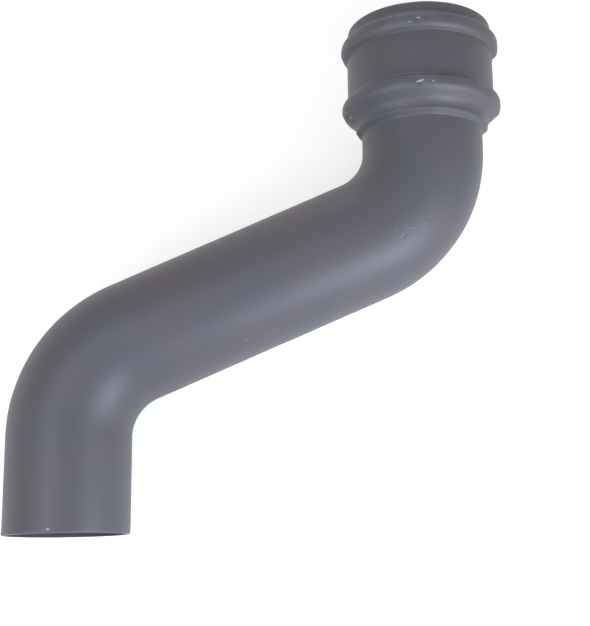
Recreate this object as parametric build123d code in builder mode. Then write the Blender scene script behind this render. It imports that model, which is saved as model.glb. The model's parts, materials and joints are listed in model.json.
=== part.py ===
# Downpipe offset bend: a round rainwater pipe offset, cast in iron as one piece
# Sizes are in millimetres and angles in degrees.
# The casting lies on its side, as it rests on a floor. +Z is up, +Y runs along the pipe
# from the plain spigot end to the socket mouth, and the offset is towards +X. The origin
# is on the floor, under the middle of the casting's box.
import os
from math import asin, cos, degrees, radians, sin

from build123d import *

# Pipe
pipe_bore = 72.4
pipe_wall = 3.5
spigot_length = 61.5
spigot_outer_round = 1.0
spigot_inner_round = 0.6
neck_length = 10.5

# Offset between the two vertical runs of the downpipe
projection = 230.0
bend_turn = 67.0
bend_radius = 66.0

# Socket bore, which takes the spigot of the pipe above
joint_gap = 4.8
floor_height = 17.2
floor_fillet = 2.0
throat_round = 1.2
mouth_chamfer = 0.9

# Collar, the first step up from the pipe, where the socket starts
collar_rise = 3.7
collar_slope = 54.0
collar_round = 0.8
collar_length = 0.3
foot_fillet = 1.2

# Socket wall between and beyond the beads
barrel_wall = 3.9
barrel_length = 27.1
lip_wall = 3.4
lip_length = 6.05
lip_round = 1.6

# Beads that stiffen the socket. Each has a sloping flank on both sides of its crest, with a
# hollow fillet at the bottom of the flank and a round at its top.
bead_rise = 4.1
lower_crest = 2.1
lower_slope_below = 51.6
lower_slope_above = 52.8
lower_fillet_below = 8.4
lower_fillet_above = 5.0
lower_round_below = 5.6
lower_round_above = 2.5
upper_crest = 2.4
upper_slope_below = 60.0
upper_slope_above = 55.0
upper_fillet_below = 0.5
upper_fillet_above = 3.0
upper_round_below = 5.1
upper_round_above = 3.0

# Radii that follow from the walls and gaps
bore_radius = pipe_bore / 2
pipe_radius = bore_radius + pipe_wall
collar_radius = pipe_radius + collar_rise
socket_radius = pipe_radius + joint_gap
barrel_radius = socket_radius + barrel_wall
lip_radius = socket_radius + lip_wall
bead_radius = barrel_radius + bead_rise

# Straight run between the two bends, which makes up the projection
turn = radians(bend_turn)
diagonal_length = (projection - 2 * bend_radius * (1 - cos(turn))) / sin(turn)


def flank(low_radius, high_radius, slope, fillet_radius, round_radius):
    """Work out a sloping flank between a plain stretch of the socket and a crest.

    Returns the points that end the flank's fillet and its straight part, as radius and
    height above the plain stretch, and the height at which the flank's round reaches the crest.
    """
    angle = radians(slope)
    spared = (fillet_radius + round_radius) * (1 - cos(angle))
    straight = (high_radius - low_radius - spared) / sin(angle)
    fillet_end = (low_radius + fillet_radius * (1 - cos(angle)), fillet_radius * sin(angle))
    straight_end = (
        fillet_end[0] + straight * sin(angle),
        fillet_end[1] + straight * cos(angle),
    )
    return fillet_end, straight_end, straight_end[1] + round_radius * sin(angle)


def draw_rise(start, low_radius, high_radius, slope, fillet_radius, round_radius):
    """Draw a flank that widens away from the foot, from the height start; return where it ends."""
    first, second, reach = flank(low_radius, high_radius, slope, fillet_radius, round_radius)
    first, second = (first[0], start + first[1]), (second[0], start + second[1])
    TangentArc((low_radius, start), first, tangent=(0, 1))
    Line(first, second)
    crest = (high_radius, start + reach)
    TangentArc(second, crest, tangent=(sin(radians(slope)), cos(radians(slope))))
    return start + reach


def draw_fall(start, high_radius, low_radius, slope, fillet_radius, round_radius):
    """Draw a flank that narrows away from the foot, from the height start; return where it ends."""
    first, second, reach = flank(low_radius, high_radius, slope, fillet_radius, round_radius)
    end = start + reach
    first, second = (first[0], end - first[1]), (second[0], end - second[1])
    TangentArc((high_radius, start), second, tangent=(0, 1))
    Line(second, first)
    TangentArc(first, (low_radius, end), tangent=(-sin(radians(slope)), cos(radians(slope))))
    return end


# Section of the socket: first number is the radius, second the height above its foot
with BuildSketch() as socket_section:
    with BuildLine():
        # Outside, from the foot to the mouth
        collar_edge = draw_rise(
            0, pipe_radius, collar_radius, collar_slope, foot_fillet, collar_round
        )
        collar_top = collar_edge + collar_length
        Line((collar_radius, collar_edge), (collar_radius, collar_top))
        lower_crest_base = draw_rise(
            collar_top,
            collar_radius,
            bead_radius,
            lower_slope_below,
            lower_fillet_below,
            lower_round_below,
        )
        lower_crest_top = lower_crest_base + lower_crest
        Line((bead_radius, lower_crest_base), (bead_radius, lower_crest_top))
        barrel_base = draw_fall(
            lower_crest_top,
            bead_radius,
            barrel_radius,
            lower_slope_above,
            lower_fillet_above,
            lower_round_above,
        )
        barrel_top = barrel_base + barrel_length
        Line((barrel_radius, barrel_base), (barrel_radius, barrel_top))
        upper_crest_base = draw_rise(
            barrel_top,
            barrel_radius,
            bead_radius,
            upper_slope_below,
            upper_fillet_below,
            upper_round_below,
        )
        upper_crest_top = upper_crest_base + upper_crest
        Line((bead_radius, upper_crest_base), (bead_radius, upper_crest_top))
        lip_base = draw_fall(
            upper_crest_top,
            bead_radius,
            lip_radius,
            upper_slope_above,
            upper_fillet_above,
            upper_round_above,
        )
        mouth = lip_base + lip_length
        Line((lip_radius, lip_base), (lip_radius, mouth - lip_round))
        TangentArc(
            (lip_radius, mouth - lip_round), (lip_radius - lip_round, mouth), tangent=(0, 1)
        )
        # Inside, from the mouth down to the pipe's bore
        Line((lip_radius - lip_round, mouth), (socket_radius + mouth_chamfer, mouth))
        Line((socket_radius + mouth_chamfer, mouth), (socket_radius, mouth - mouth_chamfer))
        Line((socket_radius, mouth - mouth_chamfer), (socket_radius, floor_height + floor_fillet))
        TangentArc(
            (socket_radius, floor_height + floor_fillet),
            (socket_radius - floor_fillet, floor_height),
            tangent=(0, -1),
        )
        Line((socket_radius - floor_fillet, floor_height), (bore_radius + throat_round, floor_height))
        TangentArc(
            (bore_radius + throat_round, floor_height),
            (bore_radius, floor_height - throat_round),
            tangent=(-1, 0),
        )
        Line((bore_radius, floor_height - throat_round), (bore_radius, 0))
        Line((bore_radius, 0), (pipe_radius, 0))
    make_face()

# Box of the casting, and how it lies: on both beads and along the spigot, with the socket's
# axis higher than the spigot's by as much as the beads stand out from the pipe
casting_length = (
    spigot_length
    + 2 * bend_radius * sin(turn)
    + diagonal_length * cos(turn)
    + neck_length
    + mouth
)
rest_tilt = asin((bead_radius - pipe_radius) / projection)
casting_width = pipe_radius + projection * cos(rest_tilt) + bead_radius
spigot_end = Vector(pipe_radius - casting_width / 2, -casting_length / 2, pipe_radius)
casting_plane = Plane(
    origin=spigot_end,
    x_dir=(cos(rest_tilt), 0, sin(rest_tilt)),
    z_dir=(-sin(rest_tilt), 0, cos(rest_tilt)),
)

with BuildPart() as offset_bend:
    # Pipe wall, swept along the spigot, the two bends with the diagonal, and the neck
    with BuildLine(casting_plane) as run:
        spigot_run = Line((0, 0), (0, spigot_length))
        lower_bend = JernArc(spigot_run @ 1, spigot_run % 1, bend_radius, -bend_turn)
        diagonal = Line(lower_bend @ 1, lower_bend @ 1 + lower_bend % 1 * diagonal_length)
        upper_bend = JernArc(diagonal @ 1, diagonal % 1, bend_radius, bend_turn)
        neck_run = Line(upper_bend @ 1, upper_bend @ 1 + upper_bend % 1 * neck_length)
    with BuildSketch(Plane(spigot_end, x_dir=casting_plane.x_dir, z_dir=(0, 1, 0))):
        Circle(pipe_radius)
        Circle(bore_radius, mode=Mode.SUBTRACT)
    sweep()

    # Socket, turned about the neck's axis
    socket_foot = neck_run @ 1
    with BuildSketch(Plane(socket_foot, x_dir=casting_plane.x_dir, z_dir=casting_plane.z_dir)):
        add(socket_section.sketch)
    revolve(axis=Axis(socket_foot, (0, 1, 0)))

    # Fettled edges of the spigot's end
    spigot_rims = offset_bend.edges().group_by(Axis.Y)[0].sort_by(SortBy.LENGTH)
    fillet(spigot_rims[-1], spigot_outer_round)
    fillet(offset_bend.edges().group_by(Axis.Y)[0].sort_by(SortBy.LENGTH)[0], spigot_inner_round)

offset_bend.part.label = "offset_bend"

os.makedirs("parts", exist_ok=True)
export_step(offset_bend.part, "parts/offset_bend.step")

print("box", round(casting_width, 1), round(casting_length, 1), round(2 * bead_radius, 1))
print("rest tilt", round(degrees(rest_tilt), 2), "diagonal", round(diagonal_length, 1))
print("socket height", round(mouth, 3), "bead radius", round(bead_radius, 2))
print("collar", round(collar_edge, 2), "beads", round(lower_crest_base, 2), round(upper_crest_base, 2))
print("barrel", round(barrel_base, 2), round(barrel_top, 2), "length", round(casting_length, 3))
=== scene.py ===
"""Downpipe offset bend: one grey-painted iron casting lying on a white floor.

Lengths are in metres, and sizes that a maker would give in millimetres are written times MM.
The casting is a closed section, drawn as a radius and a run along the waterway, that is
turned round the waterway's middle line by a Geometry Nodes tree.
"""

import json
import logging
from dataclasses import dataclass
from enum import Enum
from math import cos, hypot, pi, radians, sin, tan

import bpy
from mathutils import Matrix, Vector


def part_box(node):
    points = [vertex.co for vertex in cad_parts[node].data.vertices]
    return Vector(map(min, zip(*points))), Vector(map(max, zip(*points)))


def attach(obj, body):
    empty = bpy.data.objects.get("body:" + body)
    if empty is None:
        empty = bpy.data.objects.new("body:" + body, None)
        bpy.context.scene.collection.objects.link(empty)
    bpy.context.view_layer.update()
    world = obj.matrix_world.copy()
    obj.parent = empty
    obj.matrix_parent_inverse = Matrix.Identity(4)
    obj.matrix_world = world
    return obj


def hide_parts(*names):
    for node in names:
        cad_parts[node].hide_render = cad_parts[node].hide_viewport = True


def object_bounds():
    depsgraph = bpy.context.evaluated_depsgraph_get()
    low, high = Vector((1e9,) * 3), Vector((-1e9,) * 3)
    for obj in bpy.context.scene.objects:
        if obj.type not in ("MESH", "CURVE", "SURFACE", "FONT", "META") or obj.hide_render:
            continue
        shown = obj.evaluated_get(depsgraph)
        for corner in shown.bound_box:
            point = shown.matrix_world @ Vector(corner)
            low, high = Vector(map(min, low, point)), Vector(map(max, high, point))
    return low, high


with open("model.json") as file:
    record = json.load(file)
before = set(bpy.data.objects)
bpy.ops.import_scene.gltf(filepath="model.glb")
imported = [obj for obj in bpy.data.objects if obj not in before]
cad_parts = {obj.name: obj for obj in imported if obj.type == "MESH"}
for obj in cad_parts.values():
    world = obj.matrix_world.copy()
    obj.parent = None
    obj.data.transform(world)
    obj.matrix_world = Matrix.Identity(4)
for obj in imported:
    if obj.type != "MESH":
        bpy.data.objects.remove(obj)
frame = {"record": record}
CAD_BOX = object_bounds()

LOG = logging.getLogger("offset_bend")
MM = 0.001
CASTING_NODE = "offset_bend"
BODY = "root"
PHOTO_WIDTH = 590
PHOTO_HEIGHT = 626
WHITE = (1.0, 1.0, 1.0, 1.0)

Socket = bpy.types.NodeSocket
Pair = tuple[float, float]
Rows = tuple[tuple[float, ...], ...]


class Zone(Enum):
    """Which side of the casting's wall a stretch of the section belongs to."""

    OUTSIDE = 0.0
    WATERWAY = 1.0


class Kind(Enum):
    """What a socket of a node group carries."""

    NUMBER = "NodeSocketFloat"
    COUNT = "NodeSocketInt"
    VECTOR = "NodeSocketVector"
    COLOUR = "NodeSocketColor"
    GEOMETRY = "NodeSocketGeometry"
    OBJECT = "NodeSocketObject"
    MATERIAL = "NodeSocketMaterial"


class Detail(Enum):
    """How rough a noise is, as its number of finer and finer layers."""

    SMOOTH = 1.0
    UNEVEN = 2.0
    ROUGH = 3.0


def srgb(red: float, green: float, blue: float) -> tuple[float, float, float, float]:
    """Turn a screen colour into a linear one.

    Args:
        red: Red, from 0 to 255.
        green: Green, from 0 to 255.
        blue: Blue, from 0 to 255.

    Returns:
        The linear colour with full alpha.
    """
    shares = [value / 255 for value in (red, green, blue)]
    linear = [c / 12.92 if c <= 0.04045 else ((c + 0.055) / 1.055) ** 2.4 for c in shares]
    return linear[0], linear[1], linear[2], 1.0


class TreeBuilder:
    """Adds nodes to a tree and joins them, so that a tree reads as a list of steps."""

    def __init__(self, tree: bpy.types.NodeTree) -> None:
        """Keep the tree that the nodes go into."""
        self.tree = tree

    def feed(self, socket: Socket, value: object) -> None:
        """Link a socket to an input, or set the input's own value.

        Args:
            socket: The input.
            value: A socket to link, or a value to set.
        """
        if isinstance(value, Socket):
            self.tree.links.new(value, socket)
        else:
            socket.default_value = value

    def add(self, kind: str, feeds: dict | None = None, **settings: object) -> bpy.types.Node:
        """Add a node, set its properties and feed its sockets.

        Args:
            kind: The node's type name.
            feeds: For each input's name or index, a socket to link or a value to set.
            **settings: The node's own properties.

        Returns:
            The new node.
        """
        node = self.tree.nodes.new(kind)
        for name, value in settings.items():
            setattr(node, name, value)
        for key, value in (feeds or {}).items():
            self.feed(node.inputs[key], value)
        return node

    def out(self, kind: str, feeds: dict | None = None, **settings: object) -> Socket:
        """Add a node and return its first output."""
        return self.add(kind, feeds, **settings).outputs[0]

    def group(self, tree: bpy.types.NodeTree, **feeds: object) -> bpy.types.Node:
        """Place a node group, with its inputs named in small letters."""
        named = {name.replace("_", " ").title(): value for name, value in feeds.items()}
        return self.add("ShaderNodeGroup", named, node_tree=tree)

    def maths(self, operation: str, *terms: object, clamp: bool = False) -> Socket:
        """Add a Math node on one or two terms and return its result."""
        feeds = dict(enumerate(terms))
        return self.out("ShaderNodeMath", feeds, operation=operation, use_clamp=clamp)

    def plus(self, first: object, second: object, clamp: bool = False) -> Socket:
        """Return the sum of two numbers."""
        return self.maths("ADD", first, second, clamp=clamp)

    def minus(self, first: object, second: object, clamp: bool = False) -> Socket:
        """Return the first number less the second."""
        return self.maths("SUBTRACT", first, second, clamp=clamp)

    def over(self, first: object, second: object) -> Socket:
        """Return the first number divided by the second."""
        return self.maths("DIVIDE", first, second)

    def times(self, first: object, *others: object) -> Socket:
        """Return the product of numbers."""
        for other in others:
            first = self.maths("MULTIPLY", first, other)
        return first

    def vectors(self, operation: str, *terms: object) -> Socket:
        """Add a Vector Math node on two terms and return its vector."""
        return self.out("ShaderNodeVectorMath", dict(enumerate(terms)), operation=operation)

    def scaled(self, vector: object, factor: object) -> Socket:
        """Return a vector times a number."""
        feeds = {"Vector": vector, "Scale": factor}
        return self.out("ShaderNodeVectorMath", feeds, operation="SCALE")

    def measure(self, operation: str, *terms: object) -> Socket:
        """Add a Vector Math node on one or two terms and return its number."""
        node = self.add("ShaderNodeVectorMath", dict(enumerate(terms)), operation=operation)
        return node.outputs["Value"]

    def reach(self, offset: Socket, heading: Socket, length: Socket, width: Socket) -> Socket:
        """Find how far out a point lies in a long mark, as a share of the mark's size.

        Args:
            offset: The vector from the mark's middle to the point.
            heading: The unit vector along the mark.
            length: Half the mark's length.
            width: Half the mark's width.

        Returns:
            The share, which is 0 at the mark's middle and 1 on its edge.
        """
        along = self.measure("DOT_PRODUCT", offset, heading)
        whole = self.measure("DOT_PRODUCT", offset, offset)
        across = self.minus(whole, self.maths("POWER", along, 2.0))
        along = self.over(along, length)
        across = self.over(across, self.maths("POWER", width, 2.0))
        return self.maths("SQRT", self.plus(self.times(along, along), across))

    def spread(
        self, value: object, low: float, high: float, to_low: float = 0.0, to_high: float = 1.0
    ) -> Socket:
        """Map a number from one range to another, held to the new range.

        Args:
            value: The number or socket to map.
            low: Where the old range starts.
            high: Where the old range ends.
            to_low: Where the new range starts.
            to_high: Where the new range ends.

        Returns:
            The socket with the mapped number.
        """
        feeds = {0: value, 1: low, 2: high, 3: to_low, 4: to_high}
        return self.out("ShaderNodeMapRange", feeds, clamp=True)

    def blended(self, share: object, first: object, second: object) -> Socket:
        """Return the mix of two colours, by the share of the second."""
        feeds = {0: share, 6: first, 7: second}
        return self.add("ShaderNodeMix", feeds, data_type="RGBA").outputs[2]

    def noise(self, vector: object, scale: object, detail: Detail) -> Socket:
        """Return noise from 0 to 1 at a scale of so many cells a metre."""
        feeds = {"Vector": vector, "Scale": scale, "Detail": detail.value}
        return self.out("ShaderNodeTexNoise", feeds)


def new_group(
    name: str, inputs: dict[Kind, tuple[str, ...]], outputs: dict[Kind, tuple[str, ...]]
) -> tuple[TreeBuilder, dict[str, Socket], dict[str, Socket]]:
    """Make a node group with named sockets, for geometry if it has a socket for it.

    Args:
        name: The group's name.
        inputs: The names of the inputs of each kind.
        outputs: The names of the outputs of each kind.

    Returns:
        A builder for the tree, the group's inputs as sockets to link from, and its
        outputs as sockets to link to.
    """
    tree_kind = "GeometryNodeTree" if Kind.GEOMETRY in inputs else "ShaderNodeTree"
    tree = bpy.data.node_groups.new(name, tree_kind)
    for direction, kinds in (("INPUT", inputs), ("OUTPUT", outputs)):
        for kind, names in kinds.items():
            for title in names:
                tree.interface.new_socket(title, in_out=direction, socket_type=kind.value)
    entry, end = tree.nodes.new("NodeGroupInput"), tree.nodes.new("NodeGroupOutput")
    sources = {socket.name: socket for socket in entry.outputs}
    return TreeBuilder(tree), sources, {socket.name: socket for socket in end.inputs}


def blank_tree(owner: bpy.types.Material | bpy.types.World) -> TreeBuilder:
    """Empty the node tree of a material or of the surroundings, and return its builder."""
    owner.use_nodes = True
    owner.node_tree.nodes.clear()
    return TreeBuilder(owner.node_tree)


def into_scene(name: str, data: bpy.types.ID) -> bpy.types.Object:
    """Make an object of some data and put it in the scene."""
    thing = bpy.data.objects.new(name, data)
    bpy.context.scene.collection.objects.link(thing)
    return thing


def points_object(
    name: str, points: list, edges: list[tuple[int, int]], values: dict[str, list[float]]
) -> bpy.types.Object:
    """Make an object of points and edges.

    Args:
        name: The object's name.
        points: The points' places.
        edges: The pairs of points that are joined.
        values: For each attribute's name, its value at each point.

    Returns:
        The object, in the scene.
    """
    mesh = bpy.data.meshes.new(name)
    mesh.from_pydata([tuple(point) for point in points], edges, [])
    for attribute, numbers in values.items():
        mesh.attributes.new(attribute, "FLOAT", "POINT").data.foreach_set("value", numbers)
    return into_scene(name, mesh)


@dataclass(frozen=True)
class PipeRun:
    """The waterway's middle line: two straight ends, two bends and the slanting run between."""

    spigot_end: Vector
    across: Vector
    along: Vector
    projection: float
    length: float
    pipe_radius: float
    socket_radius: float
    spigot_length: float = 61.5 * MM
    bend_turn: float = radians(67.0)
    bend_radius: float = 66.0 * MM

    @classmethod
    def from_frame(cls) -> "PipeRun":
        """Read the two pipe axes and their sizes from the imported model.

        Returns:
            The run that the casting's pipe follows.
        """
        mounts = {mount["name"]: mount for mount in frame["record"]["mounts"]}
        spigot, socket = mounts["spigot"], mounts["socket"]
        low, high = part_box(CASTING_NODE)
        start = Vector((spigot["pos_m"][0], low.y, spigot["pos_m"][2]))
        offset = Vector((socket["pos_m"][0], low.y, socket["pos_m"][2])) - start
        return cls(
            spigot_end=start,
            across=offset.normalized(),
            along=Vector((0, 1, 0)),
            projection=offset.length,
            length=high.y - low.y,
            pipe_radius=spigot["dims"]["r_mm"] * MM,
            socket_radius=socket["dims"]["r_mm"] * MM,
        )

    @property
    def normal(self) -> Vector:
        """The direction square to the plane of the bends, upwards."""
        return self.across.cross(self.along)

    @property
    def tangent_length(self) -> float:
        """How far each bend starts from the corner of its two straight lines."""
        return self.bend_radius * tan(self.bend_turn / 2)

    @property
    def slant_length(self) -> float:
        """The length of the straight run between the bends."""
        return self.projection / sin(self.bend_turn) - 2 * self.tangent_length

    @property
    def lower_bend_end(self) -> float:
        """The run from the spigot's end to the end of the lower bend."""
        return self.spigot_length + self.bend_radius * self.bend_turn

    @property
    def neck_start(self) -> float:
        """The run from the spigot's end to the end of the upper bend."""
        return self.lower_bend_end + self.slant_length + self.bend_radius * self.bend_turn

    @property
    def corner_heights(self) -> Pair:
        """How far along the spigot's axis the two corners of the middle line are."""
        first = self.spigot_length + self.tangent_length
        return first, first + self.projection / tan(self.bend_turn)

    @property
    def full_length(self) -> float:
        """The run from the spigot's end to the socket's mouth."""
        return self.neck_start + self.length - self.corner_heights[1] - self.tangent_length

    def _place(self, across: float, along: float) -> Vector:
        """Return the point so far across and along from the spigot's end."""
        return self.spigot_end + self.across * across + self.along * along

    def corners(self) -> list[Vector]:
        """Return the ends and corners of the middle line, before its bends are rounded."""
        first, second = self.corner_heights
        rows = (0, 0), (0, first), (self.projection, second), (self.projection, self.length)
        return [self._place(across, along) for across, along in rows]

    def station(self, run: float) -> tuple[Vector, Vector]:
        """Find a point of the middle line.

        Args:
            run: How far along the middle line the point is, from the spigot's end.

        Returns:
            The point and the unit vector along the line there.
        """
        radius, turn = self.bend_radius, self.bend_turn
        first, second = self.corner_heights
        if run <= self.lower_bend_end:
            turn = max(0.0, run - self.spigot_length) / radius
            across = radius * (1 - cos(turn))
            along = min(run, self.spigot_length) + radius * sin(turn)
        elif run <= self.lower_bend_end + self.slant_length:
            passed = self.tangent_length + run - self.lower_bend_end
            across, along = passed * sin(turn), first + passed * cos(turn)
        else:
            turn = max(0.0, self.neck_start - run) / radius
            across = self.projection - radius * (1 - cos(turn))
            along = second + self.tangent_length - radius * sin(turn)
            along += max(0.0, run - self.neck_start)
        return self._place(across, along), self.across * sin(turn) + self.along * cos(turn)

    def surface_point(self, run: float, angle: float, radius: float) -> Vector:
        """Find a point of the casting's surface.

        Args:
            run: How far along the middle line the point is.
            angle: The point's angle round the pipe, 0 on the side of the offset and a
                quarter turn at the top.
            radius: The point's distance from the middle line.

        Returns:
            The point.
        """
        centre, tangent = self.station(run)
        side = tangent.cross(self.normal)
        return centre + side * (radius * cos(angle)) + self.normal * (radius * sin(angle))


@dataclass(frozen=True)
class Flank:
    """A sloping side of a bead, with a hollow fillet at its bottom and a round at its top."""

    slope: float
    hollow: float
    crown: float

    def reach(self, rise: float) -> float:
        """Return how far along the axis the flank goes while it rises."""
        rounds = self.hollow + self.crown
        straight = (rise - rounds * (1 - cos(self.slope))) / sin(self.slope)
        return rounds * sin(self.slope) + straight * cos(self.slope)


@dataclass(frozen=True)
class Stretch:
    """A plain stretch of the socket's outside, with the flank that leads to it from below."""

    flank: Flank
    radius: float
    length: float
    wear: float = 0.0
    spacing: float = 0.75 * MM


@dataclass(frozen=True)
class SectionPoint:
    """A point of the section, with its side of the wall and how much it is rubbed."""

    radius: float
    run: float
    inside: float
    crest: float


class SectionPen:
    """Draws a section as a row of points, each stretch going on from the last point."""

    nearest = 0.01 * MM
    fewest_steps = 3

    def __init__(self, radius: float, run: float) -> None:
        """Start the section at a point of the outside."""
        self.zone = Zone.OUTSIDE
        self.points: list[SectionPoint] = []
        self._put(radius, run, 0.0)

    def _put(self, radius: float, run: float, crest: float) -> None:
        """Add a point, unless it lies on the last one."""
        last = self.points[-1] if self.points else None
        if last is None or hypot(radius - last.radius, run - last.run) >= self.nearest:
            self.points.append(SectionPoint(radius, run, self.zone.value, crest))

    def line(self, radius: float, run: float, spacing: float, crest: float = 0.0) -> None:
        """Draw a straight stretch.

        Args:
            radius: The radius where it ends.
            run: The run where it ends.
            spacing: About how far apart its points are.
            crest: How much it stands out to be rubbed, from 0 to 1.
        """
        start = self.points[-1]
        wide, high = radius - start.radius, run - start.run
        count = max(1, round(hypot(wide, high) / spacing))
        for step in range(1, count + 1):
            share = step / count
            self._put(start.radius + wide * share, start.run + high * share, crest)

    def arc(
        self, centre: Pair, radius: float, angles: Pair, spacing: float, crests: Pair = (0.0, 0.0)
    ) -> None:
        """Draw an arc.

        Args:
            centre: The radius and run of the arc's centre.
            radius: The arc's own radius.
            angles: Where it starts and ends, 0 away from the axis and a quarter turn up it.
            spacing: About how far apart its points are.
            crests: How much its two ends stand out to be rubbed, from 0 to 1.
        """
        turn = angles[1] - angles[0]
        count = max(self.fewest_steps, round(abs(turn) * radius / spacing))
        for step in range(count + 1):
            share = step / count
            angle = angles[0] + turn * share
            crest = crests[0] + (crests[1] - crests[0]) * share
            self._put(centre[0] + radius * cos(angle), centre[1] + radius * sin(angle), crest)

    def flank(self, radius: float, form: Flank, spacing: float, crest: float) -> None:
        """Draw a flank, up to a crest or down from one.

        Args:
            radius: The radius where it ends.
            form: The flank's slope and rounds.
            spacing: About how far apart its points are.
            crest: How much the crest stands out to be rubbed, from 0 to 1.
        """
        start, slope, hollow, crown = self.points[-1], form.slope, form.hollow, form.crown
        end = start.run + form.reach(abs(radius - start.radius))
        if radius > start.radius:
            self.arc((start.radius + hollow, start.run), hollow, (pi, pi - slope), spacing)
            top = radius - crown
            self.line(top + crown * cos(slope), end - crown * sin(slope), spacing)
            self.arc((top, end), crown, (-slope, 0.0), spacing, (0.0, crest))
        else:
            top = start.radius - crown
            self.arc((top, start.run), crown, (0.0, slope), spacing, (crest, 0.0))
            foot = radius + hollow
            self.line(foot - hollow * cos(slope), end - hollow * sin(slope), spacing)
            self.arc((foot, end), hollow, (slope - pi, -pi), spacing)


@dataclass
class CastingSection:
    """The section of the whole wall: spigot, pipe, beaded socket, and the waterway inside."""

    run: PipeRun
    pipe_wall: float = 3.5 * MM
    spigot_outer_round: float = 1.0 * MM
    spigot_inner_round: float = 0.6 * MM
    spigot_end_length: float = 12.0 * MM
    floor_height: float = 17.2 * MM
    floor_fillet: float = 2.0 * MM
    throat_round: float = 1.2 * MM
    mouth_chamfer: float = 0.9 * MM
    collar_rise: float = 3.7 * MM
    collar_length: float = 0.3 * MM
    collar_flank: Flank = Flank(radians(54.0), 1.2 * MM, 0.8 * MM)
    barrel_wall: float = 3.9 * MM
    barrel_length: float = 27.1 * MM
    lip_wall: float = 3.4 * MM
    lip_length: float = 6.05 * MM
    lip_round: float = 1.6 * MM
    bead_rise: float = 4.1 * MM
    lower_crest: float = 2.1 * MM
    lower_flanks: tuple[Flank, Flank] = (
        Flank(radians(51.6), 8.4 * MM, 5.6 * MM),
        Flank(radians(52.8), 5.0 * MM, 2.5 * MM),
    )
    upper_crest: float = 2.4 * MM
    upper_flanks: tuple[Flank, Flank] = (
        Flank(radians(60.0), 0.5 * MM, 5.1 * MM),
        Flank(radians(55.0), 3.0 * MM, 3.0 * MM),
    )
    collar_wear: float = 0.2
    bead_wear: float = 0.35
    rim_wear: Pair = (0.5, 0.5)
    pipe_spacing: float = 2.0 * MM
    rim_spacing: float = 0.75 * MM
    round_spacing: float = 0.4 * MM
    socket_inner_spacing: float = 1.5 * MM
    waterway_spacing: float = 5.0 * MM

    @property
    def stretches(self) -> tuple[Stretch, ...]:
        """The plain stretches of the socket's outside, from its foot up to the lip's round."""
        lower, upper = self.lower_flanks, self.upper_flanks
        collar = self.run.pipe_radius + self.collar_rise
        lip, barrel = (self.run.socket_radius + wall for wall in (self.lip_wall, self.barrel_wall))
        bead, wear, fine = barrel + self.bead_rise, self.bead_wear, self.round_spacing
        return (
            Stretch(self.collar_flank, collar, self.collar_length, self.collar_wear, fine),
            Stretch(lower[0], bead, self.lower_crest, wear),
            Stretch(lower[1], barrel, self.barrel_length),
            Stretch(upper[0], bead, self.upper_crest, wear),
            Stretch(upper[1], lip, self.lip_length - self.lip_round),
        )

    @property
    def tops(self) -> list[float]:
        """The height above the socket's foot at which each stretch ends."""
        height, radius, tops = 0.0, self.run.pipe_radius, []
        for stretch in self.stretches:
            height += stretch.flank.reach(abs(stretch.radius - radius)) + stretch.length
            radius = stretch.radius
            tops.append(height)
        return tops

    @property
    def foot(self) -> float:
        """The run of the socket's foot."""
        return self.run.full_length - self.tops[-1] - self.lip_round

    @property
    def upper_bead(self) -> float:
        """The run of the middle of the upper bead's crest, the last stretch before the lip."""
        return self.foot + self.tops[-2] - self.upper_crest / 2

    def _outside(self) -> SectionPen:
        """Draw the outside, from the spigot's end to the socket's mouth.

        Returns:
            The pen, at the mouth.
        """
        radius, foot, wear = self.run.pipe_radius, self.foot, 0.0
        pen = SectionPen(radius, self.spigot_outer_round)
        pen.line(radius, self.spigot_end_length, self.rim_spacing)
        pen.line(radius, foot, self.pipe_spacing)
        for stretch, top in zip(self.stretches, self.tops):
            radius, spacing = stretch.radius, stretch.spacing
            pen.flank(radius, stretch.flank, spacing, max(wear, stretch.wear))
            wear = stretch.wear
            pen.line(radius, foot + top, spacing, wear)
        edge = radius - self.lip_round, foot + top
        pen.arc(edge, self.lip_round, (0.0, pi / 2), self.round_spacing, self.rim_wear)
        return pen

    def _inside(self, pen: SectionPen) -> None:
        """Draw the socket's bore and floor and the waterway, back to the spigot's end.

        Args:
            pen: The pen, at the socket's mouth.
        """
        bore, socket = self.run.pipe_radius - self.pipe_wall, self.run.socket_radius
        floor, mouth = self.foot + self.floor_height, self.run.full_length
        fine, step = self.round_spacing, self.socket_inner_spacing
        fillet, throat, pipe = self.floor_fillet, self.throat_round, self.run.pipe_radius
        inner, outer = self.spigot_inner_round, self.spigot_outer_round
        pen.line(socket + self.mouth_chamfer, mouth, fine)
        pen.zone = Zone.WATERWAY
        pen.line(socket, mouth - self.mouth_chamfer, fine)
        pen.line(socket, floor + fillet, step)
        pen.arc((socket - fillet, floor + fillet), fillet, (0.0, -pi / 2), fine)
        pen.line(bore + throat, floor, step)
        pen.arc((bore + throat, floor - throat), throat, (pi / 2, pi), fine)
        pen.line(bore, inner, self.waterway_spacing)
        pen.arc((bore + inner, inner), inner, (pi, 3 * pi / 2), fine)
        pen.zone = Zone.OUTSIDE
        pen.line(pipe - outer, 0.0, fine)
        pen.arc((pipe - outer, outer), outer, (-pi / 2, 0.0), fine, self.rim_wear)

    def draw(self) -> list[SectionPoint]:
        """Draw the whole section.

        Returns:
            The section's points. The pen ends where it started, so its last point goes.
        """
        pen = self._outside()
        self._inside(pen)
        return pen.points[:-1]

    def outer_radius(self, points: list[SectionPoint], run: float) -> float:
        """Find the outside radius at a place along the run.

        Args:
            points: The section's points, which rise along the outside and then go back.
            run: The place along the middle line.

        Returns:
            The radius of the outside there.
        """
        for low, high in zip(points, points[1:]):
            if low.run <= run <= high.run and low.run < high.run:
                share = (run - low.run) / (high.run - low.run)
                return low.radius + (high.radius - low.radius) * share
        return self.run.pipe_radius


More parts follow.
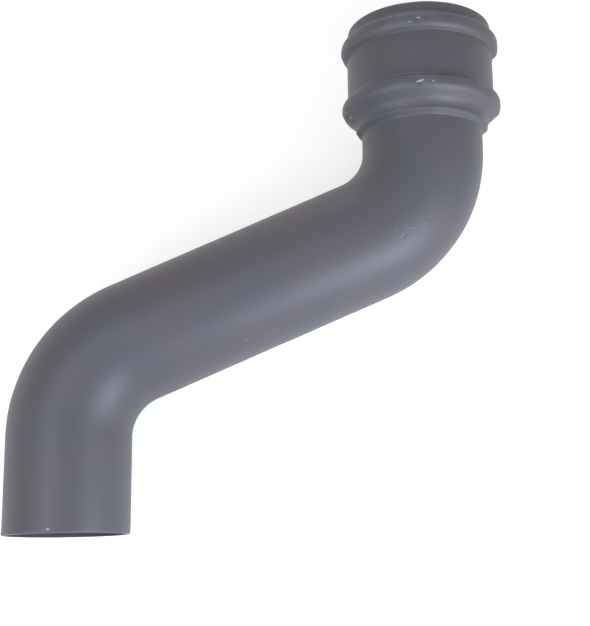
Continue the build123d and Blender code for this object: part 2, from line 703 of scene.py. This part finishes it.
@dataclass(frozen=True)
class Blemish:
    """A small fault at one place of the outside, with half its length and half its width."""

    run: float
    angle: float
    reach_along: float
    reach_round: float
    rise: float
    bare: float
    # How much painted shade the fault carries: shadow beside a chip, along the fin or at a burr.
    grime: float


@dataclass(frozen=True)
class FineMark:
    """A mark finer than the skin's points, which the paint carries.

    Its tone is dark below 0, where the mark is painted shade in a small dent.
    """

    middle: Vector
    heading: Vector
    length: float
    width: float
    tone: float


@dataclass(frozen=True)
class Relief:
    """The faults that the casting's outside carries, placed by run and by angle.

    A row of the first three lists has a run in millimetres, an angle in degrees, half a length,
    half a width and a rise in millimetres, how bare the fault is, and how much painted shade it
    carries: the dark bits beside the bead chips, along the fin and under the collar, and at the
    spigot's burr are painted shadow. The runs of the bead chips and of the fin's remains start
    at the socket's foot. A row of the pipe's marks has the run and the angle of both ends, half
    a width and a tone; a tone below 0 is painted shade in a small dent.
    """

    section: CastingSection
    # A row's last number is painted shade: the shadow beside a chip, along the fin and under the
    # collar, or at the spigot's burr.
    bead_chips: Rows = (
        (60.2, 94.0, 1.1, 3.8, 0.1, 0.72, 0.0),
        (58.2, 100.0, 1.0, 3.0, 0.1, 0.6, 0.0),
        (58.1, 95.0, 1.8, 3.0, -0.3, 0.0, 0.6),
        (17.2, 95.8, 1.0, 2.0, -0.1, 0.9, 0.0),
        (17.5, 94.1, 1.1, 2.2, -0.1, 1.0, 0.0),
        (17.9, 92.4, 0.9, 1.8, -0.1, 0.9, 0.0),
        (15.6, 95.0, 1.4, 2.2, -0.2, 0.0, 0.6),
        (17.3, 85.4, 1.0, 1.3, 0.1, 0.9, 0.0),
    )
    fin_remains: Rows = (
        (16.4, 165.0, 1.6, 2.0, 0.3, 0.0, 0.4),
        (14.2, 166.4, 1.2, 2.4, 0.4, 0.55, 0.0),
        (12.9, 170.5, 1.5, 3.0, -0.3, 0.0, 1.0),
        (11.6, 169.0, 1.2, 2.6, 0.5, 0.8, 0.0),
        (9.6, 171.0, 1.9, 3.4, -0.4, 0.0, 1.0),
        (7.4, 166.8, 1.1, 2.2, 0.4, 0.6, 0.0),
        (6.2, 171.0, 1.6, 3.0, -0.3, 0.0, 1.0),
        (4.6, 169.7, 1.0, 2.0, 0.5, 0.55, 0.0),
        (3.2, 176.0, 2.2, 6.0, 0.2, 0.0, 1.0),
        (1.0, 176.0, 2.2, 6.0, 0.1, 0.0, 1.0),
    )
    spigot_marks: Rows = (
        (2.4, 92.8, 1.3, 2.8, -0.2, 0.72, 0.0),
        (8.0, 94.0, 7.0, 3.0, 0.15, 0.25, 0.0),
        (16.0, 95.2, 7.0, 2.6, 0.15, 0.22, 0.0),
        (24.0, 95.6, 8.0, 2.4, 0.1, 0.18, 0.0),
        (0.8, 162.0, 3.2, 7.0, 0.3, 0.0, 1.0),
    )
    # A tone below 0 is painted shade in a small dent.
    pipe_marks: Rows = (
        (331.4, 61.5, 331.9, 54.2, 0.8, -0.55),
        (332.5, 61.0, 333.0, 55.0, 0.7, 0.25),
        (319.4, 69.9, 323.6, 61.3, 0.8, 0.3),
        (314.1, 71.6, 316.5, 72.5, 0.9, 0.25),
        (314.7, 61.1, 319.5, 62.4, 0.9, -0.5),
        (314.2, 63.4, 318.4, 65.4, 0.8, 0.25),
        (258.2, 75.6, 259.2, 74.6, 1.2, -0.4),
        (262.2, 75.5, 270.7, 76.9, 0.8, 0.2),
        (204.9, 34.2, 206.3, 33.0, 1.3, 0.42),
        (216.7, 26.4, 220.1, 28.4, 0.9, 0.4),
        (222.8, 29.8, 224.6, 30.9, 1.0, 0.4),
        (198.8, 49.2, 200.2, 48.8, 1.1, -0.35),
        (213.6, 37.9, 214.9, 37.5, 1.1, -0.4),
        (227.8, 31.0, 229.2, 30.6, 1.1, -0.35),
    )

    def blemishes(self) -> list[Blemish]:
        """Place the faults that are large enough for the skin to carry.

        Returns:
            The faults on the beads, along the fin and on the spigot.
        """
        rows = [(self.section.foot, row) for row in self.bead_chips + self.fin_remains]
        rows += [(0.0, row) for row in self.spigot_marks]
        return [
            Blemish(start + run * MM, radians(angle), long * MM, wide * MM, rise * MM, bare, grime)
            for start, (run, angle, long, wide, rise, bare, grime) in rows
        ]

    def fine_marks(self) -> list[FineMark]:
        """Find the scratches and grains, and the painted shade of small dents, along the slanting
        run and the upper bend.

        Returns:
            The marks, each with its middle and its direction on the casting's outside.
        """
        run, radius = self.section.run, self.section.run.pipe_radius
        marks = []
        for first_run, first_angle, last_run, last_angle, width, tone in self.pipe_marks:
            first = run.surface_point(first_run * MM, radians(first_angle), radius)
            last = run.surface_point(last_run * MM, radians(last_angle), radius)
            length = (last - first).length / 2 + width * MM
            heading = (last - first).normalized()
            marks.append(FineMark((first + last) / 2, heading, length, width * MM, tone))
        return marks

    def points(self, outline: list[SectionPoint]) -> bpy.types.Object:
        """Make the object whose points carry the faults to the casting's tree.

        Args:
            outline: The points of the section that the faults lie on.

        Returns:
            An object with one point for each fault and its sizes as attributes.
        """
        faults, section = self.blemishes(), self.section
        places = [
            section.run.surface_point(b.run, b.angle, section.outer_radius(outline, b.run))
            for b in faults
        ]
        names = "reach_along", "reach_round", "rise", "bare", "grime"
        values = {name: [getattr(fault, name) for fault in faults] for name in names}
        return points_object("relief_points", places, [], values)


@dataclass(frozen=True)
class CastingSurface:
    """How finely the skin is divided, and how the mould and the saw left it uneven."""

    points_around: int = 192
    bend_points: int = 96
    line_points: int = 480
    crowding: float = 0.5
    shrink: float = 0.05 * MM
    wander: float = 0.14 * MM
    wander_size: float = 26.0 * MM
    seam_rise: float = 0.12 * MM
    seam_width: float = 1.0 * MM
    end_skew: float = 0.4 * MM
    skew_reach: float = 45.0 * MM
    mould_shift: float = 1.9 * MM
    shift_fade: float = 4.0 * MM


class TurnedCastingTree(TreeBuilder):
    """The Geometry Nodes tree that turns the section round the middle line.

    The points round the pipe crowd together once in each quarter. The lower half of the mould
    is fully set off for a point that lies shift_edge below the middle, in radii of the pipe.
    """

    quarters = 4.0
    shift_edge = -0.018
    wander_range = 0.25, 0.75
    sharp_corner = radians(32)

    def __init__(self) -> None:
        """Make the tree's named inputs, and its skin with what each point knows of its place."""
        inputs = {
            Kind.GEOMETRY: ("Section",),
            Kind.OBJECT: ("Middle Line", "Relief"),
            Kind.MATERIAL: ("Paint",),
            Kind.COUNT: ("Points Around", "Bend Points", "Line Points"),
            Kind.VECTOR: ("Plane Normal", "Box Low", "Box High"),
            Kind.NUMBER: (
                *("Bend Radius", "Crowding", "Shrink", "Wander", "Wander Size", "Seam Rise"),
                *("Seam Width", "End Skew", "Skew Reach", "Mould Shift", "Shift Fade"),
                *("Shift Start", "Shift End"),
            ),
        }
        group = new_group("turned_casting", inputs, {Kind.GEOMETRY: ("Casting",)})
        super().__init__(group[0].tree)
        self.source, self.result = group[1:]
        self.skin, drawn, around = self._skin()
        self.radius, self.run = drawn["X"], drawn["Y"]
        self.side, self.height = around["X"], around["Y"]
        self.outside = self.minus(1.0, self._named("inside"))

    def build(self) -> bpy.types.NodeTree:
        """Build the tree.

        Returns:
            The tree, with a named input for each size.
        """
        normal = self.source["Plane Normal"]
        settled = self.plus(self._skewed_run(), self._mismatch())
        feeds = {"Curves": self._middle_line(), "Length": settled}
        station = self.add("GeometryNodeSampleCurve", feeds, mode="LENGTH").outputs
        centre, tangent = station["Position"], station["Tangent"]
        sideways = self.scaled(self.vectors("CROSS_PRODUCT", tangent, normal), self.side)
        outward = self.vectors("ADD", sideways, self.scaled(normal, self.height))
        plain = self.vectors("ADD", centre, self.scaled(outward, self.radius))
        rise, masks = self._relief(plain, tangent)
        rise = self.plus(self.minus(rise, self._wander(plain)), self._seam())
        place = self.vectors("ADD", centre, self.scaled(outward, self.plus(self.radius, rise)))
        place = self.vectors("MAXIMUM", place, self.source["Box Low"])
        place = self.vectors("MINIMUM", place, self.source["Box High"])
        geometry = self.out("GeometryNodeSetPosition", {"Geometry": self.skin, "Position": place})
        for name, mask in masks.items():
            feeds = {"Geometry": geometry, "Name": name, "Value": mask}
            geometry = self.out("GeometryNodeStoreNamedAttribute", feeds)
        self._finish(geometry)
        return self.tree

    def _named(self, name: str) -> Socket:
        """Return a named value of the geometry's points."""
        return self.add("GeometryNodeInputNamedAttribute", {"Name": name}).outputs["Attribute"]

    def _kept(self, geometry: Socket, value: Socket) -> tuple[Socket, Socket]:
        """Keep a vector of each point of some geometry.

        Args:
            geometry: The geometry.
            value: The vector.

        Returns:
            The geometry and the kept vector.
        """
        node = self.add("GeometryNodeCaptureAttribute", {"Geometry": geometry})
        node.capture_items.new("VECTOR", "Kept")
        self.feed(node.inputs["Kept"], value)
        return node.outputs["Geometry"], node.outputs["Kept"]

    def _skin(self) -> tuple[Socket, dict[str, Socket], dict[str, Socket]]:
        """Make the closed skin, still unplaced.

        Returns:
            The skin and, for each of its points, the parts of its place in the section and
            those of the unit vector round the pipe.
        """
        count = self.source["Points Around"]
        section = self.out("GeometryNodeMeshToCurve", {"Mesh": self.source["Section"]})
        profile, drawn = self._kept(section, self.out("GeometryNodeInputPosition"))
        circle = self.out("GeometryNodeCurvePrimitiveCircle", {"Resolution": count, "Radius": 1.0})
        even = self.times(self.over(self.out("GeometryNodeInputIndex"), count), 2 * pi)
        crowd = self.maths("SINE", self.times(even, self.quarters))
        crowd = self.times(crowd, self.over(self.source["Crowding"], self.quarters))
        angle = self.minus(even, crowd)
        feeds = {"X": self.maths("COSINE", angle), "Y": self.maths("SINE", angle)}
        ring, around = self._kept(circle, self.out("ShaderNodeCombineXYZ", feeds))
        skin = self.out("GeometryNodeCurveToMesh", {"Curve": ring, "Profile Curve": profile})
        parts = (self.add("ShaderNodeSeparateXYZ", {0: value}).outputs for value in (drawn, around))
        return skin, *parts

    def _middle_line(self) -> Socket:
        """Round the corners of the middle line to the bends.

        Returns:
            The middle line, with its points evenly apart.
        """
        source = self.source
        corners = self.add("GeometryNodeObjectInfo", {"Object": source["Middle Line"]})
        line = self.out("GeometryNodeMeshToCurve", {"Mesh": corners.outputs["Geometry"]})
        feeds = {"Curve": line, "Count": source["Bend Points"], "Radius": source["Bend Radius"]}
        line = self.out("GeometryNodeFilletCurve", feeds, mode="POLY")
        feeds = {"Curve": line, "Count": source["Line Points"]}
        return self.out("GeometryNodeResampleCurve", feeds, mode="COUNT")

    def _left(self, value: Socket, whole: Socket) -> Socket:
        """Return what a number leaves of a whole, as a share from 0 to 1."""
        return self.minus(1.0, self.over(value, whole), clamp=True)

    def _skewed_run(self) -> Socket:
        """Return each point's run, shorter in the spigot by the skew that its end was cut with."""
        fade = self._left(self.run, self.source["Skew Reach"])
        shift = self.times(self.plus(self.side, 1.0), self.source["End Skew"], fade)
        return self.plus(self.run, shift)

    def _mismatch(self) -> Socket:
        """Find how far the socket's lower half lies up the pipe, as its mould half was set off.

        Returns:
            The distance that each point moves.
        """
        source = self.source
        below = self.spread(self.height, 0.0, self.shift_edge)
        ends = (self.run, source["Shift Start"]), (source["Shift End"], self.run)
        rising, falling = (
            self.plus(self.over(self.minus(*end), source["Shift Fade"]), 1.0, clamp=True)
            for end in ends
        )
        return self.times(rising, falling, below, self.outside, source["Mould Shift"])

    def _relief(self, place: Socket, tangent: Socket) -> tuple[Socket, dict[str, Socket]]:
        """Raise or sink the surface near the fault that is nearest.

        Args:
            place: Each point's place on the plain surface.
            tangent: The middle line's direction there.

        Returns:
            The rise of the surface, and by name how bare it is and how much painted
            shade it carries.
        """
        points = self.add("GeometryNodeObjectInfo", {"Object": self.source["Relief"]})
        points = points.outputs["Geometry"]
        feeds = {"Geometry": points, "Sample Position": place}
        nearest = self.out("GeometryNodeSampleNearest", feeds)

        def at_nearest(value: Socket, kind: str = "FLOAT") -> Socket:
            """Return a value of the nearest fault."""
            sampled = {"Geometry": points, "Value": value, "Index": nearest}
            return self.out("GeometryNodeSampleIndex", sampled, data_type=kind)

        names = "reach_along", "reach_round", "rise", "bare", "grime"
        fault = {name: at_nearest(self._named(name)) for name in names}
        middle = at_nearest(self.out("GeometryNodeInputPosition"), "FLOAT_VECTOR")
        offset = self.vectors("SUBTRACT", place, middle)
        distance = self.reach(offset, tangent, fault["reach_along"], fault["reach_round"])
        near = self.minus(1.0, distance, clamp=True)
        eased = self.out("ShaderNodeMapRange", {0: near}, interpolation_type="SMOOTHSTEP")
        # The painted shade goes on with the bare mask, for the paint to darken by.
        masks = {name: self.times(near, fault[name]) for name in ("bare", "grime")}
        return self.times(eased, fault["rise"]), masks

    def _wander(self, place: Socket) -> Socket:
        """Return how far the surface lies inside its true form, as a sand mould leaves it."""
        cloud = self.noise(place, self.over(1.0, self.source["Wander Size"]), Detail.SMOOTH)
        depth = self.times(self.spread(cloud, *self.wander_range), self.source["Wander"])
        return self.plus(depth, self.source["Shrink"])

    def _seam(self) -> Socket:
        """Return the rise of the low ridge along both sides, where the mould's halves met."""
        apart = self.times(self.maths("ABSOLUTE", self.height), self.radius)
        near = self._left(apart, self.source["Seam Width"])
        return self.times(near, self.outside, self.source["Seam Rise"])

    def _finish(self, geometry: Socket) -> None:
        """Smooth the skin, keep its sharp corners, and give it its paint.

        Args:
            geometry: The skin, in its place.
        """
        kind = "GeometryNodeSetShadeSmooth"
        smooth = self.out(kind, {"Geometry": geometry}, domain="FACE")
        angle = self.add("GeometryNodeInputMeshEdgeAngle").outputs["Unsigned Angle"]
        sharp = self.maths("GREATER_THAN", angle, self.sharp_corner)
        feeds = {"Geometry": smooth, "Selection": sharp, "Shade Smooth": False}
        creased = self.out(kind, feeds, domain="EDGE")
        whole = self.out("GeometryNodeRealizeInstances", {"Geometry": creased})
        feeds = {"Geometry": whole, "Material": self.source["Paint"]}
        self.feed(self.result["Casting"], self.out("GeometryNodeSetMaterial", feeds))


@dataclass(frozen=True)
class SatinPaint:
    """Mid-grey satin paint over cast iron, thin on the crests and matt in the waterway.

    A pair of numbers is where a mask starts and where it is full.
    """

    name: str = "satin_grey_paint"
    cool_grey: tuple = srgb(80, 81, 88)
    warm_grey: tuple = srgb(87, 81, 86)
    bare_grey: tuple = srgb(205, 205, 204)
    # The dark grey of the painted shade: shadow beside chips, along the fin, under the collar and
    # in dents.
    grime_grey: tuple = srgb(36, 40, 44)
    waterway_grey: tuple = srgb(70, 69, 72)
    cloud_size: float = 34.0 * MM
    cloud_edge: Pair = (0.35, 0.65)
    grain_size: float = 1.1 * MM
    grain_share: float = 0.4
    peel_size: float = 5.0 * MM
    peel_share: float = 0.6
    grain_height: float = 0.025 * MM
    patch_size: float = 9.0 * MM
    patch_edge: Pair = (0.42, 0.7)
    fault_rub: float = 0.35
    rub_share: float = 0.12
    chip_grain: float = 1.2 * MM
    chip_raggedness: float = 0.5
    chip_edge: Pair = (0.6, 0.84)
    mark_grain: float = 0.9 * MM
    mark_raggedness: float = 0.9
    mark_edge: Pair = (1.25, 0.75)
    mark_height: float = 6.0
    scrape_share: float = 0.3
    roughness: float = 0.48
    waterway_roughness: float = 0.8
    specular: float = 0.5

    def cast_grain_group(self) -> bpy.types.NodeTree:
        """Build the group that gives the height of the painted cast surface.

        Returns:
            The group, from a place to a height between 0 and 1.
        """
        inputs = {Kind.VECTOR: ("Vector",), Kind.NUMBER: ("Grain Scale", "Peel Scale")}
        build, source, result = new_group("cast_grain", inputs, {Kind.NUMBER: ("Height",)})
        grain = build.noise(source["Vector"], source["Grain Scale"], Detail.ROUGH)
        peel = build.noise(source["Vector"], source["Peel Scale"], Detail.SMOOTH)
        grain = build.times(grain, self.grain_share)
        build.feed(result["Height"], build.plus(grain, build.times(peel, self.peel_share)))
        return build.tree

    def clouding_group(self) -> bpy.types.NodeTree:
        """Build the group that drifts between two tints of the paint.

        Returns:
            The group, from a place and two colours to one colour.
        """
        inputs = {
            Kind.VECTOR: ("Vector",),
            Kind.NUMBER: ("Scale",),
            Kind.COLOUR: ("First", "Second"),
        }
        build, source, result = new_group("paint_clouding", inputs, {Kind.COLOUR: ("Color",)})
        cloud = build.noise(source["Vector"], source["Scale"], Detail.ROUGH)
        share = build.spread(cloud, *self.cloud_edge)
        build.feed(result["Color"], build.blended(share, source["First"], source["Second"]))
        return build.tree

    def wear_group(self) -> bpy.types.NodeTree:
        """Build the group that finds where the paint is thin or gone.

        Returns:
            The group, from a place, a crest value and a fault value to two masks.
        """
        inputs = {Kind.VECTOR: ("Vector",), Kind.NUMBER: ("Crest", "Fault")}
        outputs = {Kind.NUMBER: ("Rubbed", "Bare")}
        build, source, result = new_group("paint_wear", inputs, outputs)
        ragged = build.noise(source["Vector"], 1 / self.chip_grain, Detail.ROUGH)
        patches = build.noise(source["Vector"], 1 / self.patch_size, Detail.UNEVEN)
        rubbed = build.times(source["Crest"], build.spread(patches, *self.patch_edge))
        fault = build.maths("MINIMUM", source["Fault"], self.fault_rub)
        build.feed(result["Rubbed"], build.maths("MAXIMUM", rubbed, fault))
        edge = build.plus(source["Fault"], build.times(ragged, self.chip_raggedness))
        build.feed(result["Bare"], build.spread(edge, *self.chip_edge))
        return build.tree

    def fine_mark_group(self) -> bpy.types.NodeTree:
        """Build the group that finds one fine mark.

        Returns:
            The group, from a place and the mark's middle, heading and sizes to a mask.
        """
        inputs = {
            Kind.VECTOR: ("Vector", "Middle", "Heading"),
            Kind.NUMBER: ("Length", "Width", "Tone"),
        }
        build, source, result = new_group("fine_mark", inputs, {Kind.NUMBER: ("Mask",)})
        offset = build.vectors("SUBTRACT", source["Vector"], source["Middle"])
        away = build.reach(offset, source["Heading"], source["Length"], source["Width"])
        ragged = build.noise(source["Vector"], 1 / self.mark_grain, Detail.UNEVEN)
        away = build.plus(away, build.times(ragged, self.mark_raggedness))
        mask = build.spread(away, *self.mark_edge)
        build.feed(result["Mask"], build.times(mask, source["Tone"]))
        return build.tree

    def fine_marks(
        self, build: TreeBuilder, place: Socket, marks: list[FineMark]
    ) -> tuple[Socket, Socket]:
        """Place the fine marks in the material.

        Args:
            build: The material's builder.
            place: The place on the casting.
            marks: The marks.

        Returns:
            The masks of the light marks and of the dark ones, which are painted shade in dents.
        """
        group = self.fine_mark_group()
        masks: dict[bool, object] = {True: 0.0, False: 0.0}
        for mark in marks:
            light = mark.tone > 0
            node = build.group(group, vector=place, **{**vars(mark), "tone": abs(mark.tone)})
            masks[light] = build.maths("MAXIMUM", masks[light], node.outputs["Mask"])
        return masks[True], masks[False]

    def build(self, marks: list[FineMark]) -> bpy.types.Material:
        """Build the material.

        Args:
            marks: The fine marks that the paint carries.

        Returns:
            The paint.
        """
        material = bpy.data.materials.new(self.name)
        build = blank_tree(material)
        place = build.add("ShaderNodeTexCoord").outputs["Object"]
        inside, crest, bare, grime = (
            build.add("ShaderNodeAttribute", attribute_name=name).outputs["Fac"]
            for name in ("inside", "crest", "bare", "grime")
        )

        tints = {"first": self.cool_grey, "second": self.warm_grey}
        scales = {"scale": 1 / self.cloud_size}
        clouds = build.group(self.clouding_group(), vector=place, **scales, **tints)
        wear = build.group(self.wear_group(), vector=place, crest=crest, fault=bare)
        scales = {"grain_scale": 1 / self.grain_size, "peel_scale": 1 / self.peel_size}
        grain = build.group(self.cast_grain_group(), vector=place, **scales)
        light, dark = self.fine_marks(build, place, marks)
        colour = build.blended(inside, clouds.outputs["Color"], self.waterway_grey)
        rubbed = build.times(wear.outputs["Rubbed"], self.rub_share)
        colour = build.blended(rubbed, colour, self.bare_grey)
        # Painted shade: the faults' dark bits and the dark fine marks darken the paint.
        colour = build.blended(build.maths("MAXIMUM", grime, dark), colour, self.grime_grey)
        colour = build.blended(build.times(light, self.scrape_share), colour, self.bare_grey)
        colour = build.blended(wear.outputs["Bare"], colour, self.bare_grey)
        marked = build.times(build.minus(light, dark), self.mark_height)
        height = build.plus(grain.outputs["Height"], marked)
        feeds = {"Height": height, "Distance": self.grain_height, "Strength": 1.0}
        normal = build.out("ShaderNodeBump", feeds)
        roughness = build.spread(inside, 0.0, 1.0, self.roughness, self.waterway_roughness)
        shader = build.out(
            "ShaderNodeBsdfPrincipled",
            {
                "Base Color": colour,
                "Roughness": roughness,
                "Metallic": 0.0,
                "Specular IOR Level": self.specular,
                "Normal": normal,
            },
        )
        build.add("ShaderNodeOutputMaterial", {"Surface": shader})
        return material


@dataclass
class OffsetBend:
    """The whole casting: its section, its surface, its faults and its paint."""

    name: str = "painted_casting"
    surface: CastingSurface = CastingSurface()
    paint: SatinPaint = SatinPaint()

    def build(self) -> bpy.types.Object:
        """Build the casting's skin by its tree, and keep the result as a plain mesh.

        Returns:
            The casting, dressed and riding on its body.
        """
        run = PipeRun.from_frame()
        section = CastingSection(run)
        faults = Relief(section)
        outline = section.draw()
        places = [(point.radius, point.run, 0.0) for point in outline]
        ring = [(i, (i + 1) % len(outline)) for i in range(len(outline))]
        values = {name: [getattr(point, name) for point in outline] for name in ("inside", "crest")}
        host = points_object("casting_section", places, ring, values)
        line = points_object("middle_line", run.corners(), [(0, 1), (1, 2), (2, 3)], {})
        relief = faults.points(outline)
        tree = TurnedCastingTree().build()
        modifier = host.modifiers.new("turned", "NODES")
        modifier.node_group = tree
        sizes = {
            "Middle Line": line,
            "Relief": relief,
            "Paint": self.paint.build(faults.fine_marks()),
            "Bend Radius": run.bend_radius,
            "Plane Normal": run.normal,
            "Shift Start": section.foot,
            "Shift End": section.upper_bead,
            "Box Low": CAD_BOX[0],
            "Box High": CAD_BOX[1],
        }
        for name, value in vars(self.surface).items():
            sizes[name.replace("_", " ").title()] = value
        sockets = {item.name: item.identifier for item in tree.interface.items_tree}
        for name, value in sizes.items():
            modifier[sockets[name]] = value
        bpy.context.view_layer.update()
        evaluated = host.evaluated_get(bpy.context.evaluated_depsgraph_get())
        mesh = bpy.data.meshes.new_from_object(evaluated)
        mesh.name = self.name
        for helper in (host, line, relief):
            bpy.data.objects.remove(helper)
        casting = into_scene(self.name, mesh)
        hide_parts(CASTING_NODE)
        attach(casting, BODY)
        LOG.info("%s: %d points, %d faces", self.name, len(mesh.vertices), len(mesh.polygons))
        return casting


def seen_rays(build: TreeBuilder) -> Socket:
    """Return 1 for camera, glossy and transmission rays and 0 for the rest."""
    path = build.add("ShaderNodeLightPath").outputs
    rays = build.maths("MAXIMUM", path["Is Camera Ray"], path["Is Glossy Ray"])
    return build.maths("MAXIMUM", rays, path["Is Transmission Ray"])


@dataclass(frozen=True)
class WhiteFloor:
    """A white sheet that keeps the casting's shadow and fades into the backdrop."""

    name: str = "white_floor"
    size: float = 8.0
    drop: float = 0.02 * MM
    colour: tuple = srgb(234, 228, 220)
    glow: float = 0.56
    fade_start: float = 0.35
    fade_end: float = 1.1

    def material(self) -> bpy.types.Material:
        """Build the floor's material, matt white with a glow that lights nothing else.

        Returns:
            The material.
        """
        material = bpy.data.materials.new(self.name)
        build = blank_tree(material)
        matt = build.out("ShaderNodeBsdfDiffuse", {"Color": self.colour})
        place = build.add("ShaderNodeTexCoord").outputs["Object"]
        away = build.measure("LENGTH", place)
        level = build.spread(away, self.fade_start, self.fade_end, self.glow, 1.0)
        strength = build.times(seen_rays(build), level)
        glow = build.out("ShaderNodeEmission", {"Color": WHITE, "Strength": strength})
        both = build.out("ShaderNodeAddShader", {0: matt, 1: glow})
        build.add("ShaderNodeOutputMaterial", {"Surface": both})
        return material

    def build(self) -> bpy.types.Object:
        """Build the floor, just under the casting.

        Returns:
            The floor.
        """
        half = self.size / 2
        mesh = bpy.data.meshes.new(self.name)
        corners = [(-half, -half), (half, -half), (half, half), (-half, half)]
        mesh.from_pydata([(x, y, -self.drop) for x, y in corners], [], [(0, 1, 2, 3)])
        mesh.materials.append(self.material())
        floor = into_scene(self.name, mesh)
        LOG.info("%s: %.1f m square", self.name, self.size)
        return floor


@dataclass(frozen=True)
class SoftBox:
    """A square lamp that faces the casting."""

    name: str
    azimuth: float
    elevation: float
    distance: float
    size: float
    power: float
    colour: tuple[float, float, float]

    def build(self, target: Vector) -> None:
        """Place the lamp round the casting.

        Args:
            target: The point that it faces.
        """
        turn, rise = radians(self.azimuth), radians(self.elevation)
        back = Vector((sin(turn) * cos(rise), -cos(turn) * cos(rise), sin(rise)))
        light = bpy.data.lights.new(self.name, "AREA")
        light.shape = "SQUARE"
        light.size = self.size
        light.energy = self.power
        light.color = self.colour
        lamp = into_scene(self.name, light)
        lamp.location = target + back * self.distance
        lamp.rotation_euler = back.to_track_quat("Z", "Y").to_euler()
        LOG.info("%s: %.2f W", self.name, self.power)


@dataclass
class Studio:
    """The white surroundings, the lamps and the camera."""

    sky_strength: float = 0.215
    camera_place: tuple[float, float, float] = (10.27 * MM, -191.56 * MM, 780.53 * MM)
    camera_turn: tuple[float, float, float] = (12.7117, -0.8296, -0.6623)
    focal_pixels: float = 1165.6
    sensor: float = 36.0
    lamps: tuple[SoftBox, ...] = (
        SoftBox("near_softbox", 45.0, 33.0, 0.62, 0.3, 3.16, (0.66, 0.83, 1.0)),
        SoftBox("near_side_softbox", 70.0, 45.0, 0.62, 0.3, 0.22, (0.65, 1.0, 0.81)),
        SoftBox("near_low_softbox", 60.0, 20.0, 0.62, 0.3, 0.7, (1.0, 0.76, 0.86)),
        SoftBox("back_softbox", 180.0, 12.0, 1.2, 0.6, 2.97, (1.0, 0.78, 0.89)),
        SoftBox("left_softbox", 315.0, 35.0, 1.2, 0.6, 5.79, (0.83, 0.81, 1.0)),
        SoftBox("overhead_softbox", 270.0, 60.0, 1.2, 0.6, 3.38, (0.84, 0.96, 1.0)),
    )

    def _world(self) -> None:
        """Make the surroundings white to the eye and a plain soft light to the casting."""
        world = bpy.data.worlds.new("white_surroundings")
        build = blank_tree(world)
        strength = build.spread(seen_rays(build), 0.0, 1.0, self.sky_strength, 1.0)
        sky = build.out("ShaderNodeBackground", {"Color": WHITE, "Strength": strength})
        build.add("ShaderNodeOutputWorld", {"Surface": sky})
        bpy.context.scene.world = world

    def _camera(self) -> None:
        """Place the camera as the photograph was taken, looking down on the casting."""
        data = bpy.data.cameras.new("photo_camera")
        data.sensor_width = self.sensor
        data.lens = self.focal_pixels * self.sensor / max(PHOTO_WIDTH, PHOTO_HEIGHT)
        data.dof.use_dof = False
        camera = into_scene("photo_camera", data)
        camera.location = self.camera_place
        camera.rotation_euler = [radians(angle) for angle in self.camera_turn]
        bpy.context.scene.camera = camera

    def build(self) -> None:
        """Set up the surroundings, the lamps, the camera and the plain view."""
        self._world()
        target = (CAD_BOX[0] + CAD_BOX[1]) / 2
        for lamp in self.lamps:
            lamp.build(target)
        self._camera()
        bpy.context.scene.view_settings.view_transform = "Standard"


def main() -> None:
    """Build the casting, its floor and its studio."""
    logging.basicConfig(level=logging.INFO, format="%(name)s %(message)s")
    OffsetBend().build()
    WhiteFloor().build()
    Studio().build()


if __name__ == "__main__":
    main()
